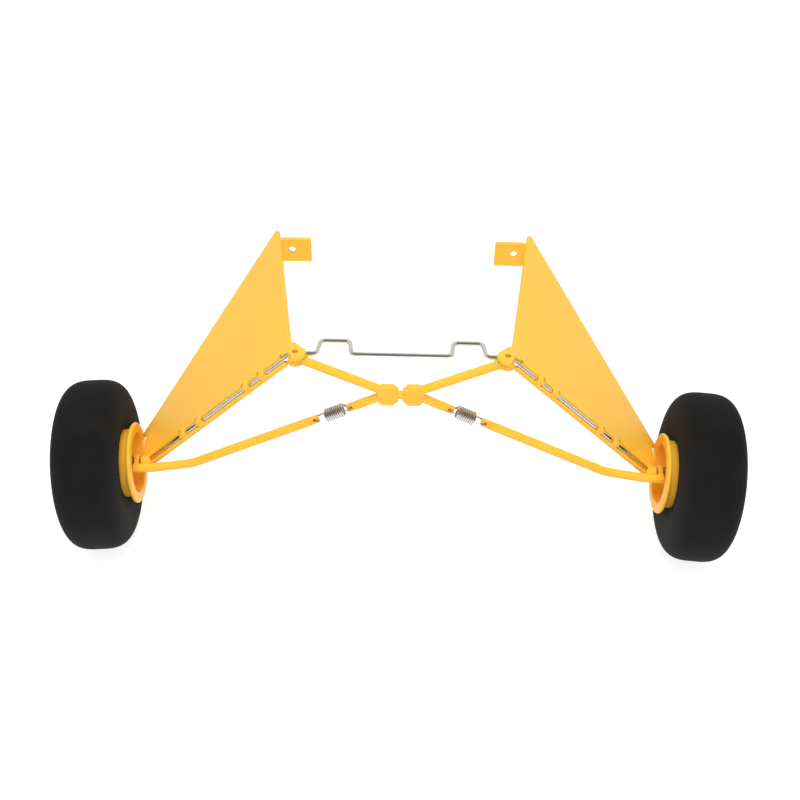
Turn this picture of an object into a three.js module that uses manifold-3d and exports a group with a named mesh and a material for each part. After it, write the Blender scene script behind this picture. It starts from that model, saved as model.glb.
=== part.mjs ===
// Main landing gear of a model high-wing aeroplane: sprung wire legs with moulded fairings,
// a centre brace, sprung shock struts and foam wheels. Millimetres, +X right, +Y rearward, +Z up.
// The origin is the middle of the fuselage belly between the two front ears.
import * as THREE from 'three';
import { mergeVertices } from 'three/addons/utils/BufferGeometryUtils.js';
import Module from 'manifold-3d';

const wasm = await Module();
wasm.setup();

// ---- driving dimensions ----
const GAP = 0.3;                 // clearance between pieces that touch
const WIRE_R = 1.0;              // 2 mm spring steel wire
const WIRE_Z = -3.3;             // wire centre below the belly
const LEG_X = 41.5;              // where the wire turns down into the leg
const LEG_ANGLE = THREE.MathUtils.degToRad(41.5);
const FAIRING_TILT = THREE.MathUtils.degToRad(7.5);
const AXLE_Z = -59.2;            // axle height below the belly
const AXLE_DROOP = THREE.MathUtils.degToRad(2);
const AXLE_TOE = THREE.MathUtils.degToRad(-3.5);   // the axle's end points slightly forward
const WHEEL_X = 124;             // middle of the tyre
const TYRE_R = 35;               // 70 mm foam wheel
const TYRE_HALF_W = 12.7;
const BARREL_R = 14;             // hub barrel under the tyre
const FLANGE_R = 16.7;
const HUB_INNER_W = 16.1;        // rim of the half towards the fuselage, from the tyre's middle
const HUB_OUTER_W = 14.6;
const EAR_HOLE = [40.4, -3.6];   // front screw hole, x and y
const BRACE_Y = EAR_HOLE[1];     // plane of the brace, springs and struts
const LOBE = [5.1, -19.3];       // middle of a brace lobe, x and z
const BRACE_ANGLE = THREE.MathUtils.degToRad(25);
const TAB_Y = 87;                // front face of the rear tab
const TAB_T = 2.4;

const AXLE_X = LEG_X + (WIRE_Z - AXLE_Z) / Math.tan(LEG_ANGLE);

// ---- materials ----
const material = (color, roughness, metalness) =>
  new THREE.MeshStandardMaterial({ color, roughness, metalness });
const YELLOW = material(0xf7b71c, 0.35, 0);
const STEEL = material(0x9a9a98, 0.3, 1);
const SPRING_STEEL = material(0xb9b5ac, 0.28, 1);
const FOAM = material(0x1b1b1d, 0.9, 0);
const ZINC = material(0xa7a9ab, 0.35, 1);

// ---- solids ----
const vec = (x, y, z) => new THREE.Vector3(x, y, z);

// Turns a closed geometry so that its faces point outwards.
function outward(geometry) {
  const bare = geometry.clone();
  bare.deleteAttribute('normal');
  bare.deleteAttribute('uv');
  const merged = mergeVertices(bare, 1e-4);
  const index = merged.index.array;
  const corner = (i) => new THREE.Vector3().fromBufferAttribute(merged.attributes.position, index[i]);
  let volume = 0;
  for (let i = 0; i < index.length; i += 3) {
    volume += corner(i).dot(corner(i + 1).cross(corner(i + 2)));
  }
  if (volume < 0) {
    for (let i = 0; i < index.length; i += 3) {
      [index[i], index[i + 1]] = [index[i + 1], index[i]];
    }
  }
  return merged;
}

function solid(geometry) {
  const closed = outward(geometry);
  const vertProperties = new Float32Array(closed.attributes.position.array);
  const triVerts = new Uint32Array(closed.index.array);
  return new wasm.Manifold(new wasm.Mesh({ numProp: 3, vertProperties, triVerts }));
}

function surface(body) {
  const mesh = body.getMesh();
  const geometry = new THREE.BufferGeometry();
  geometry.setAttribute('position', new THREE.BufferAttribute(mesh.vertProperties, 3));
  geometry.setIndex(new THREE.BufferAttribute(mesh.triVerts, 1));
  geometry.computeVertexNormals();
  return geometry;
}

const joined = (pieces) => pieces.map(solid).reduce((sum, piece) => sum.add(piece));
const carved = (pieces, cuts) =>
  surface(cuts.map(solid).reduce((rest, cut) => rest.subtract(cut), joined(pieces)));

// A box between two corners.
function block(low, high) {
  const size = high.map((value, i) => value - low[i]);
  const box = new THREE.BoxGeometry(...size);
  return box.translate(...low.map((value, i) => value + size[i] / 2));
}

// A rod between two points.
function rod(from, to, radius, sides = 12) {
  const along = to.clone().sub(from);
  const cylinder = new THREE.CylinderGeometry(radius, radius, along.length(), sides);
  const turn = new THREE.Quaternion().setFromUnitVectors(vec(0, 1, 0), along.clone().normalize());
  cylinder.applyQuaternion(turn);
  const middle = from.clone().add(to).multiplyScalar(0.5);
  return cylinder.translate(middle.x, middle.y, middle.z);
}

// A route that steps exactly from one listed point to the next.
class Route extends THREE.Curve {
  constructor(points) {
    super();
    this.points = points;
  }
  getPointAt(u) {
    return this.points[Math.round(u * (this.points.length - 1))].clone();
  }
  getTangentAt(u) {
    const i = Math.round(u * (this.points.length - 1));
    const before = this.points[Math.max(i - 1, 0)];
    const after = this.points[Math.min(i + 1, this.points.length - 1)];
    return after.clone().sub(before).normalize();
  }
}

// The corners of a bent wire, each rounded to a bend of the given radius.
function bent(corners, radius, steps = 4) {
  const points = [corners[0]];
  for (let i = 1; i < corners.length - 1; i += 1) {
    const back = corners[i - 1].clone().sub(corners[i]).normalize();
    const on = corners[i + 1].clone().sub(corners[i]).normalize();
    const half = back.angleTo(on) / 2;
    const reach = radius / Math.tan(half);
    const centre = back.clone().add(on).normalize().multiplyScalar(radius / Math.sin(half)).add(corners[i]);
    const start = corners[i].clone().addScaledVector(back, reach).sub(centre);
    const end = corners[i].clone().addScaledVector(on, reach).sub(centre);
    const sweep = start.angleTo(end);
    for (let k = 0; k <= steps; k += 1) {
      const t = k / steps;
      const a = Math.sin((1 - t) * sweep) / Math.sin(sweep);
      const b = Math.sin(t * sweep) / Math.sin(sweep);
      points.push(start.clone().multiplyScalar(a).addScaledVector(end, b).add(centre));
    }
  }
  points.push(corners[corners.length - 1]);
  return points;
}

function tube(points, radius, sides = 10) {
  const section = new THREE.Shape();
  for (let i = 0; i < sides; i += 1) {
    const angle = (2 * Math.PI * i) / sides;
    const place = [radius * Math.cos(angle), radius * Math.sin(angle)];
    if (i === 0) section.moveTo(...place);
    else section.lineTo(...place);
  }
  return new THREE.ExtrudeGeometry(section, {
    steps: points.length - 1,
    extrudePath: new Route(points),
    bevelEnabled: false,
  });
}

// A flat plate from an outline in x and y, and one that stands in x and z.
function plate(outline, thickness) {
  const shape = new THREE.Shape(outline.map(([x, y]) => new THREE.Vector2(x, y)));
  return new THREE.ExtrudeGeometry(shape, { depth: thickness, bevelEnabled: false });
}
const standingPlate = (outline, yFront, thickness) =>
  plate(outline, thickness).rotateX(Math.PI / 2).translate(0, yFront + thickness, 0);

// Outline points on an arc about a centre.
function arc([cx, cy], radius, fromDeg, toDeg, steps) {
  return Array.from({ length: steps + 1 }, (_, i) => {
    const angle = THREE.MathUtils.degToRad(fromDeg + ((toDeg - fromDeg) * i) / steps);
    return [cx + radius * Math.cos(angle), cy + radius * Math.sin(angle)];
  });
}

// A turned piece about the axle, from [along, radius] points.
function turned(profile, segments) {
  const points = profile.map(([along, radius]) => new THREE.Vector2(radius, along));
  points.push(points[0].clone());
  return new THREE.LatheGeometry(points, segments).rotateZ(-Math.PI / 2);
}

// ---- frames: every one-sided piece is drawn for the right and mirrored for the left ----
const alongLeg = vec(Math.cos(LEG_ANGLE), 0, -Math.sin(LEG_ANGLE));
const offLeg = vec(
  Math.cos(FAIRING_TILT) * Math.sin(LEG_ANGLE),
  -Math.sin(FAIRING_TILT),
  Math.cos(FAIRING_TILT) * Math.cos(LEG_ANGLE),
);
const acrossLeg = offLeg.clone().cross(alongLeg);
const legFrame = new THREE.Matrix4().makeBasis(alongLeg, acrossLeg, offLeg).setPosition(LEG_X, 0, WIRE_Z);
const inLeg = (geometry) => geometry.applyMatrix4(legFrame);
const legPoint = (u, v = 0, w = 0) => vec(u, v, w).applyMatrix4(legFrame);

const axleStart = vec(AXLE_X, 0, AXLE_Z);
const alongAxle = vec(
  Math.cos(AXLE_DROOP) * Math.cos(AXLE_TOE),
  Math.cos(AXLE_DROOP) * Math.sin(AXLE_TOE),
  -Math.sin(AXLE_DROOP),
);
const axlePoint = (x) => axleStart.clone().addScaledVector(alongAxle, (x - AXLE_X) / alongAxle.x);
const onAxle = (geometry) => {
  const middle = axlePoint(WHEEL_X);
  return geometry.rotateY(AXLE_DROOP).rotateZ(AXLE_TOE).translate(middle.x, middle.y, middle.z);
};

const alongStrut = vec(Math.cos(BRACE_ANGLE), 0, -Math.sin(BRACE_ANGLE));
const strutPoint = (s, y = 0) =>
  vec(LOBE[0], BRACE_Y + y, LOBE[1] + 0.3).addScaledVector(alongStrut, s);

// ---- wire ----
const HUMP_OUT = 32.6;
const HUMP_TOP_OUT = 31.6;
const HUMP_TOP_IN = 20.1;
const HUMP_IN = 19.2;
const HUMP_DEPTH = 9.2;
const WIRE_BEND_R = 2.2;
const AXLE_END_X = 138.9;
const LEG_BEND_R = 3;
const LEG_WIRE_START = 0.5;

function centreWire() {
  const half = [
    [HUMP_IN, 0],
    [HUMP_TOP_IN, HUMP_DEPTH],
    [HUMP_TOP_OUT, HUMP_DEPTH],
    [HUMP_OUT, 0],
    [LEG_X - 0.5, 0],
  ];
  const right = half.map(([x, y]) => vec(x, y, WIRE_Z));
  const left = half.map(([x, y]) => vec(-x, y, WIRE_Z)).reverse();
  return outward(tube(bent([...left, ...right], WIRE_BEND_R), WIRE_R));
}

function legWire() {
  const corners = [legPoint(LEG_WIRE_START), axleStart, axlePoint(AXLE_END_X)];
  return outward(tube(bent(corners, LEG_BEND_R), WIRE_R, 12));
}

// ---- fairing ----
const FACE_W = 1.1;              // outer face of the plate above the wire centre
const PLATE_T = 2;
const CHANNEL_START = 4.6;
const CHANNEL_END = 82.3;
const CHANNEL_FRONT = -2.4;      // outside of the channel's front wall
const CHANNEL_BACK = 2.6;
const CHANNEL_FLOOR = -2.1;      // underside of the channel's floor
const CHANNEL_LIP = 0.2;         // top of the front wall
const LUGS = [15.8, 24.5, 51.3, 61];
const LUG_W = 2.6;
const LUG_TOP = 2.1;
const NOTCHES = [5, ...LUGS.map((u) => u + 1.6)];
const NOTCH_W = 1.8;
const BOSS_R = 2.6;
const BOSS_X = [103.2, 106.9];

function fairing() {
  const outline = [
    [0.9, 1.5],
    ...arc([10.6, 94.8], 1.4, 175, 45, 5),
    ...arc([88, 18.9], 1.2, 40, -70, 5),
    [87.6, 17.3],
    [86.6, 14.5],
    [86.6, 4.5],
    [86.2, 1.5],
  ];
  const sheet = inLeg(plate(outline, PLATE_T).translate(0, 0, FACE_W - PLATE_T));
  const wall = WIRE_R + GAP;
  const inner = wall + 0.05;
  const channel = [
    block([CHANNEL_START, CHANNEL_FRONT, CHANNEL_FLOOR], [CHANNEL_END, CHANNEL_BACK, -wall]),
    block([CHANNEL_START, CHANNEL_FRONT, CHANNEL_FLOOR], [CHANNEL_END, -inner, CHANNEL_LIP]),
    block([CHANNEL_START, inner, CHANNEL_FLOOR], [CHANNEL_END, CHANNEL_BACK, FACE_W]),
  ];
  const lugs = LUGS.flatMap((u) => {
    const [low, high] = [u - LUG_W / 2, u + LUG_W / 2];
    return [
      block([low, CHANNEL_FRONT, wall], [high, 2.5, LUG_TOP]),
      block([low, CHANNEL_FRONT, -0.1], [high, -inner, LUG_TOP]),
      block([low, inner, 0.5], [high, 2.5, LUG_TOP]),
    ];
  });
  const notches = NOTCHES.map((u) => inLeg(block([u, 1.2, 0.05 - wall], [u + NOTCH_W, 3, 3])));
  const boss = rod(axlePoint(BOSS_X[0]), axlePoint(BOSS_X[1]), BOSS_R, 16);
  const wireRoom = [
    rod(legPoint(78), legPoint(84.36), wall, 10),
    rod(axlePoint(AXLE_X), axlePoint(108), wall, 10),
    new THREE.SphereGeometry(wall, 10, 6).translate(axleStart.x, 0, axleStart.z),
  ];
  return carved([sheet, ...[...channel, ...lugs].map(inLeg), boss], [...notches, ...wireRoom]);
}

const EAR_T = 2;
const EAR_R = 4.2;
const EAR_HOLE_R = 1.25;

function fairingEar() {
  const [hx, hy] = EAR_HOLE;
  const edge = LEG_X - 0.5;
  const outline = [[edge, 3.8], ...arc([hx, hy], EAR_R, 150, 262, 12), [edge, -7.8]];
  const flat = plate(outline, EAR_T).translate(0, 0, -EAR_T);
  const saddle = block([37.6, -1.2, -4.9], [edge, 2.6, 0.1 - EAR_T]);
  const screwHole = rod(vec(hx, hy, 1), vec(hx, hy, -3), EAR_HOLE_R, 20);
  const wireRoom = rod(vec(30, 0, WIRE_Z), vec(50, 0, WIRE_Z), WIRE_R + GAP, 14);
  return carved([flat, saddle], [screwHole, wireRoom]);
}

const TAB_HOLE = [50.3, -5.5];   // x and z
const TAB_HOLE_R = 1.7;

function fairingTab() {
  const corner = arc([42.6, -1], 1, 180, 90, 3);
  const low = arc([42.2, -10.7], 0.6, 270, 180, 2);
  const outline = [...corner, [54.3, 0], [54.3, -2.1], [64.8, -11.3], ...low];
  const sheet = standingPlate(outline, TAB_Y, TAB_T);
  const [tx, tz] = TAB_HOLE;
  const screwHole = rod(vec(tx, TAB_Y - 1, tz), vec(tx, TAB_Y + TAB_T + 1, tz), TAB_HOLE_R, 20);
  return carved([sheet], [screwHole]);
}

// ---- brace, springs and struts ----
const ARM_R = 1.8;
const HOOK_HOLE_R = 0.8;
const ARM_HOLE_S = 15.8;         // hook hole in the brace arm, along the strut line
const SPRING_S = [18.9, 26.8];   // ends of the coiled body
const STRUT_HOLE_S = 31.6;
const STRUT_BEND_R = 20;
const SPRING_R = 2.45;           // middle of the coil wire
const SPRING_WIRE_R = 0.41;
const SPRING_TURNS = 9;
const EYE_X = [107.4, 109.4];    // strut eye on the axle
const EYE_R = 3.3;

// A flattened rod end with a cross hole for a spring hook; facing is +1 or -1 along the strut.
function hookEnd(holeS, facing) {
  const from = holeS + 1.7 * facing;
  const to = holeS - 3.2 * facing;
  const [low, high] = from < to ? [from, to] : [to, from];
  const flat = block([low, -0.9, -1.7], [high, 0.9, 1.7]);
  flat.rotateY(BRACE_ANGLE);
  const origin = strutPoint(0);
  return flat.translate(origin.x, origin.y, origin.z);
}
const hookHole = (s) => rod(strutPoint(s, -3), strutPoint(s, 3), HOOK_HOLE_R, 12);

function centreBrace() {
  const [lx, lz] = LOBE;
  const half = 4.3;
  const cut = 2;
  const square = [
    [half - cut, half], [half, half - cut], [half, cut - half], [half - cut, -half],
    [cut - half, -half], [-half, cut - half], [-half, half - cut], [cut - half, half],
  ];
  const [hx, hy] = EAR_HOLE;
  const pieces = [rod(vec(-2, BRACE_Y, lz), vec(2, BRACE_Y, lz), 1.7)];
  const cuts = [];
  for (const side of [1, -1]) {
    const here = (geometry) => (side === 1 ? geometry : mirrored(geometry));
    const lobe = standingPlate(square.map(([x, z]) => [x + lx, z + lz]), BRACE_Y - ARM_R, 2 * ARM_R);
    const upperArm = rod(vec(lx + 1, BRACE_Y, lz + 1.6), vec(36.6, BRACE_Y, -4.4), ARM_R);
    const lowerArm = rod(strutPoint(1), strutPoint(ARM_HOLE_S - 2.4), ARM_R);
    const eye = rod(vec(hx, hy, -2.4), vec(hx, hy, -5.4), 2.9, 18);
    const neck = block([35.4, hy - 1.7, -5.4], [hx, hy + 1.7, -2.4]);
    pieces.push(...[lobe, upperArm, lowerArm, eye, neck, hookEnd(ARM_HOLE_S, 1)].map(here));
    cuts.push(
      here(rod(vec(hx, hy, -1), vec(hx, hy, -7), 1.1, 16)),
      here(block([hx - 6, -1.4, -7], [hx + 6, 3, -1])),
      here(hookHole(ARM_HOLE_S)),
    );
  }
  return carved(pieces, cuts);
}

function shockStrut() {
  const shaft = bent(
    [strutPoint(STRUT_HOLE_S + 2.2), vec(85, BRACE_Y, -56.3), vec(101, -4.9, -58), vec(109.2, -4.9, -58.5)],
    STRUT_BEND_R,
    5,
  );
  const eyeIn = axlePoint(EYE_X[0]);
  const eyeOut = axlePoint(EYE_X[1]);
  const tongue = block([EYE_X[0], -5.9, -60], [EYE_X[1], -2.2, -57.2]);
  const pieces = [tube(shaft, ARM_R, 10), hookEnd(STRUT_HOLE_S, -1), rod(eyeIn, eyeOut, EYE_R, 18), tongue];
  return carved(pieces, [hookHole(STRUT_HOLE_S), rod(axlePoint(105), axlePoint(112), 1.45, 12)]);
}

function shockSpring() {
  const [from, to] = SPRING_S;
  const sideways = vec(0, 1, 0);
  const upward = sideways.clone().cross(alongStrut).negate();
  const at = (s, y, z) => strutPoint(s).addScaledVector(sideways, y).addScaledVector(upward, z);
  const hook = (holeS, endS, facing) => [
    at(holeS + 1.9 * facing, -1.5, 0),
    at(holeS + 0.7 * facing, -1.9, 0),
    at(holeS, -1.4, 0),
    at(holeS, 0, 0),
    at(holeS, 1.4, 0),
    at(holeS + 0.9 * facing, 1.9, 0),
    at(endS - 0.5 * facing, SPRING_R - 0.3, 0),
  ];
  const stepsPerTurn = 7;
  const steps = SPRING_TURNS * stepsPerTurn;
  const coil = Array.from({ length: steps + 1 }, (_, i) => {
    const angle = (2 * Math.PI * i) / stepsPerTurn;
    const s = from + ((to - from) * i) / steps;
    return at(s, SPRING_R * Math.cos(angle), SPRING_R * Math.sin(angle));
  });
  const points = [...hook(ARM_HOLE_S, from, 1), ...coil, ...hook(STRUT_HOLE_S, to, -1).reverse()];
  return outward(tube(points, SPRING_WIRE_R, 5));
}

// ---- wheel ----
const HUB_SCREWS = 3;
const SCREW_CIRCLE_R = 8.3;
const WEB = [7.8, 9.8];
const TUBE_END = 11.8;
const COLLAR_L = 2.2;

// The tyre's section is squarish: a superellipse from the tread down to the sidewalls.
const SECTION_POWER = 3.5;
const SECTION_FOOT_R = 16;

function tyre() {
  const squarish = (value) => Math.sign(value) * Math.abs(value) ** (2 / SECTION_POWER);
  const tread = Array.from({ length: 11 }, (_, i) => {
    const angle = THREE.MathUtils.degToRad(75 - 15 * i);
    const height = (TYRE_R - SECTION_FOOT_R) * squarish(Math.cos(angle));
    return [TYRE_HALF_W * squarish(Math.sin(angle)), SECTION_FOOT_R + height];
  });
  const side = [[TYRE_HALF_W - 1.7, BARREL_R + GAP], [TYRE_HALF_W - 0.6, 18.5]];
  const other = side.map(([along, radius]) => [-along, radius]).reverse();
  return outward(onAxle(turned([...side, ...tread, ...other], 32)));
}

// facing is -1 for the half towards the fuselage and +1 for the outboard half.
function hubHalf(facing) {
  const f = FLANGE_R;
  const e = facing > 0 ? HUB_OUTER_W : HUB_INNER_W;
  const b = BARREL_R;
  const bore = WIRE_R + GAP;
  const profile = [
    [TUBE_END, bore], [TUBE_END, 4], [WEB[1], 4], [WEB[1], b - 1.4], [e - 2, b - 1.8], [e - 0.4, b - 1.7],
    [e, b - 0.7], [e, f - 1], [e - 1.2, f], [e - 2.4, f - 0.9], [e - 2.4, b], [GAP / 2, b],
    [GAP / 2, b - 1.4], [WEB[0], b - 1.4], [WEB[0], 4], [GAP / 2, 4], [GAP / 2, bore],
  ].map(([along, radius]) => [along * facing, radius]);
  const posts = [];
  const holes = [];
  for (let i = 0; i < HUB_SCREWS; i += 1) {
    const angle = (2 * Math.PI * i) / HUB_SCREWS + Math.PI / 2;
    const at = (along) => vec(along, SCREW_CIRCLE_R * Math.cos(angle), SCREW_CIRCLE_R * Math.sin(angle));
    posts.push(rod(at((GAP / 2) * facing), at((WEB[0] + 1) * facing), 2.3, 10));
    holes.push(rod(at(-1 * facing), at((facing > 0 ? 20 : 6.5) * facing), 1.1, 8));
  }
  const pieces = [turned(profile, 24), ...posts].map(onAxle);
  return carved(pieces, holes.map(onAxle));
}

function hubScrew(i) {
  const angle = (2 * Math.PI * i) / HUB_SCREWS + Math.PI / 2;
  const head = WEB[1] + GAP;
  const screw = turned([
    [-5.8, 0], [-5.8, 0.5], [-5, 0.8], [head, 0.8], [head, 1.9], [head + 0.9, 1.7], [head + 1.3, 1], [head + 1.3, 0],
  ], 10);
  screw.translate(0, SCREW_CIRCLE_R * Math.cos(angle), SCREW_CIRCLE_R * Math.sin(angle));
  return outward(onAxle(screw));
}

// Collars are clamped on the axle by one grub screw each; along is where the collar starts.
function collar(along) {
  const ring = turned([
    [along, WIRE_R + GAP], [along, 2.6], [along + 0.3, 2.9], [along + COLLAR_L - 0.3, 2.9],
    [along + COLLAR_L, 2.6], [along + COLLAR_L, WIRE_R + GAP],
  ], 16);
  const middle = along + COLLAR_L / 2;
  const tapped = rod(vec(middle, 0, 1), vec(middle, 0, 4), 0.85, 8);
  return carved([onAxle(ring)], [onAxle(tapped)]);
}
function grubScrew(along) {
  const middle = along + COLLAR_L / 2;
  return outward(onAxle(rod(vec(middle, 0, 1.3), vec(middle, 0, 2.7), 0.55, 8)));
}
const INNER_COLLAR = 109.8 - WHEEL_X;
const OUTER_COLLAR = TUBE_END + 0.4;

// ---- assembly ----
function mirrored(geometry) {
  return outward(geometry.clone().scale(-1, 1, 1));
}

const gear = new THREE.Group();
function add(parent, name, geometry, finish) {
  const mesh = new THREE.Mesh(geometry, finish);
  mesh.name = name;
  parent.add(mesh);
}

add(gear, 'gear_wire_centre', centreWire(), STEEL);
add(gear, 'centre_brace', centreBrace(), YELLOW);

const onePerSide = [
  ['fairing', fairing(), YELLOW],
  ['fairing_ear', fairingEar(), YELLOW],
  ['fairing_tab', fairingTab(), YELLOW],
  ['leg_wire', legWire(), STEEL],
  ['shock_strut', shockStrut(), YELLOW],
  ['shock_spring', shockSpring(), SPRING_STEEL],
  ['tyre', tyre(), FOAM],
  ['hub_inner', hubHalf(-1), YELLOW],
  ['hub_outer', hubHalf(1), YELLOW],
  ['inner_collar', collar(INNER_COLLAR), ZINC],
  ['outer_collar', collar(OUTER_COLLAR), ZINC],
  ['inner_grub_screw', grubScrew(INNER_COLLAR), STEEL],
  ['outer_grub_screw', grubScrew(OUTER_COLLAR), STEEL],
];
for (let i = 0; i < HUB_SCREWS; i += 1) {
  onePerSide.push([`hub_screw_${i + 1}`, hubScrew(i), ZINC]);
}
for (const side of ['left', 'right']) {
  const group = new THREE.Group();
  for (const [name, geometry, finish] of onePerSide) {
    add(group, `${side}_${name}`, side === 'left' ? mirrored(geometry) : outward(geometry), finish);
  }
  gear.add(group);
}

export default gear;
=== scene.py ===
import math

import bmesh
import bpy
from mathutils import Matrix, Vector


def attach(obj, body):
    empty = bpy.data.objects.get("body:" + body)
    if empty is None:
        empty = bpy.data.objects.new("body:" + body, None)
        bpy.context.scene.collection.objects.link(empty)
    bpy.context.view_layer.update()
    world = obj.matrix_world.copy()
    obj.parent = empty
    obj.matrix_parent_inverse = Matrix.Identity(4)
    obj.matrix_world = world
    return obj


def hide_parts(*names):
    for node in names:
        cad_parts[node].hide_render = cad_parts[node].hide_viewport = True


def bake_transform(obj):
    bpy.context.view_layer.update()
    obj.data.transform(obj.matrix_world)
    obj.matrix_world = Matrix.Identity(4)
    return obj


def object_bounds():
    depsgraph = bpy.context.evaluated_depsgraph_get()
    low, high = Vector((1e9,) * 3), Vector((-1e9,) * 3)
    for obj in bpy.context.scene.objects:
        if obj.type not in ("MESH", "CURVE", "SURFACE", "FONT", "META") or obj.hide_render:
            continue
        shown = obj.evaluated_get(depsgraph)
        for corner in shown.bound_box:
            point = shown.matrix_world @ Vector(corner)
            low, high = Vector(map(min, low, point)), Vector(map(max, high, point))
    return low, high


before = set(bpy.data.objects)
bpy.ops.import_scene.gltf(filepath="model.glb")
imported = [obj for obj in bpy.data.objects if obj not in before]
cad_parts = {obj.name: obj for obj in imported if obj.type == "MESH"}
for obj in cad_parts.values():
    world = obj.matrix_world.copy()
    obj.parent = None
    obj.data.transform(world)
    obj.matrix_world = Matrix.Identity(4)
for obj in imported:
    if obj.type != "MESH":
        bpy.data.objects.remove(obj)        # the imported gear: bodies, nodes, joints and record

cad_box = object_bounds()
scene = bpy.context.scene


# ---- Studio ----
# A lit white table under the tyres, with a broad soft light overhead and a weaker one in front.
# The pale room darkens towards the camera, which stands in front of the gear and looks down on it.
MM = 0.001
CAMERA_TILT = math.radians(36.4)
CAMERA_YAW = math.radians(0.25)
CAMERA_ROLL = math.radians(1.36)
CAMERA_DISTANCE = 395.1 * MM
CAMERA_AIM = Vector((-0.2, -3.6, -21.8)) * MM
LENS = 45.45
SENSOR = 36
FLOOR_SIZE = 8
FLOOR_GAP = 0.1 * MM
FLOOR_WHITE = (0.35, 0.35, 0.35, 1)
FLOOR_GLOW = 0.85
ROOM_STRENGTH = 0.68
ROOM_DARK = (0.26, 0.26, 0.26, 1)    # the room's tone behind the camera
ROOM_FADE = (0.3, 0.62)          # where the darkening starts and ends
LIGHT_AIM = Vector((0, 0, -0.03))


def add_camera():
    data = bpy.data.cameras.new("camera")
    data.lens = LENS
    data.sensor_width = SENSOR
    data.clip_start = 0.01
    camera = bpy.data.objects.new("camera", data)
    scene.collection.objects.link(camera)
    level = math.cos(CAMERA_TILT)
    ahead = Vector((math.sin(CAMERA_YAW) * level, math.cos(CAMERA_YAW) * level, -math.sin(CAMERA_TILT)))
    right = Vector((math.cos(CAMERA_YAW), -math.sin(CAMERA_YAW), 0))
    up = right.cross(ahead)
    turned_right = right * math.cos(CAMERA_ROLL) + up * math.sin(CAMERA_ROLL)
    turned_up = up * math.cos(CAMERA_ROLL) - right * math.sin(CAMERA_ROLL)
    place = Matrix((turned_right, turned_up, -ahead)).transposed().to_4x4()
    place.translation = CAMERA_AIM - ahead * CAMERA_DISTANCE
    camera.matrix_world = place
    scene.camera = camera


def add_softbox(name, place, size, watts):
    """A broad soft light that leaves no bright square in the polished wire."""
    data = bpy.data.lights.new(name, "AREA")
    data.shape = "RECTANGLE"
    data.size, data.size_y = size
    data.energy = watts
    light = bpy.data.objects.new(name, data)
    scene.collection.objects.link(light)
    light.location = place
    light.rotation_euler = (LIGHT_AIM - Vector(place)).to_track_quat("-Z", "Y").to_euler()
    light.visible_glossy = False


def add_floor(height):
    half = FLOOR_SIZE / 2
    corners = [(-half, -half, height), (half, -half, height), (half, half, height), (-half, half, height)]
    mesh = bpy.data.meshes.new("floor")
    mesh.from_pydata(corners, [], [(0, 1, 2, 3)])
    floor = bpy.data.objects.new("floor", mesh)
    scene.collection.objects.link(floor)
    finish = bpy.data.materials.new("floor_white")
    finish.use_nodes = True
    shader = finish.node_tree.nodes["Principled BSDF"]
    shader.inputs["Base Color"].default_value = FLOOR_WHITE
    shader.inputs["Roughness"].default_value = 0.9
    shader.inputs["Emission Color"].default_value = (1, 1, 1, 1)
    shader.inputs["Emission Strength"].default_value = FLOOR_GLOW
    mesh.materials.append(finish)


def add_room():
    room = bpy.data.worlds.new("studio")
    room.use_nodes = True
    nodes, links = room.node_tree.nodes, room.node_tree.links
    light = nodes["Background"]
    light.inputs["Strength"].default_value = ROOM_STRENGTH
    coords = nodes.new("ShaderNodeTexCoord")
    turn = nodes.new("ShaderNodeMapping")
    turn.inputs["Rotation"].default_value = (CAMERA_TILT, 0, math.radians(90))
    fade = nodes.new("ShaderNodeTexGradient")
    tone = nodes.new("ShaderNodeValToRGB")
    for stop, position, colour in zip(tone.color_ramp.elements, ROOM_FADE, ((1, 1, 1, 1), ROOM_DARK)):
        stop.position = position
        stop.color = colour
    links.new(coords.outputs["Generated"], turn.inputs["Vector"])
    links.new(turn.outputs["Vector"], fade.inputs["Vector"])
    links.new(fade.outputs["Fac"], tone.inputs["Fac"])
    links.new(tone.outputs["Color"], light.inputs["Color"])
    scene.world = room


add_camera()
add_floor(cad_box[0].z - FLOOR_GAP)
add_softbox("overhead", (0, -0.35, 1.25), (0.9, 0.8), 14)
add_softbox("front", (0.05, -0.9, 1.0), (1.0, 0.8), 6)
add_room()
scene.view_settings.view_transform = "Standard"


# ---- Leg wire ----
# One length of 2 mm spring wire, bent cold: a straight middle with two flat humps that sit in
# the fuselage, then down each leg and out along the axle. It is drawn in three lengths that
# meet inside the ears, where the legs flex.
WIRE_R = 1.0
WIRE_Z = -3.3
LEG_X = 41.5                     # where the wire turns down
LEG_ANGLE = math.radians(41.5)
AXLE_Z = -59.2
AXLE_DROOP = math.radians(2)
AXLE_TOE = math.radians(-3.5)    # the axle's end points slightly forward
AXLE_X = LEG_X + (WIRE_Z - AXLE_Z) / math.tan(LEG_ANGLE)
AXLE_END_X = 138.9
FAIRING_TILT = math.radians(7.5)
HUMP_OUT = (32.6, 31.6)          # outer foot and outer top of a hump
HUMP_IN = (19.2, 20.1)           # inner foot and inner top
HUMP_DEPTH = 9.2
WIRE_JOIN_X = 39.2               # where the lengths meet, inside an ear
HUMP_BEND_R = 2.2
LEG_BEND_R = 3.2
WIRE_SIDES = 24
SIDES = {"left": -1, "right": 1}

along_leg = Vector((math.cos(LEG_ANGLE), 0, -math.sin(LEG_ANGLE)))
off_leg = Vector((
    math.cos(FAIRING_TILT) * math.sin(LEG_ANGLE),
    -math.sin(FAIRING_TILT),
    math.cos(FAIRING_TILT) * math.cos(LEG_ANGLE),
))
across_leg = off_leg.cross(along_leg)
along_axle = Vector((
    math.cos(AXLE_DROOP) * math.cos(AXLE_TOE),
    math.cos(AXLE_DROOP) * math.sin(AXLE_TOE),
    -math.sin(AXLE_DROOP),
))


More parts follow.
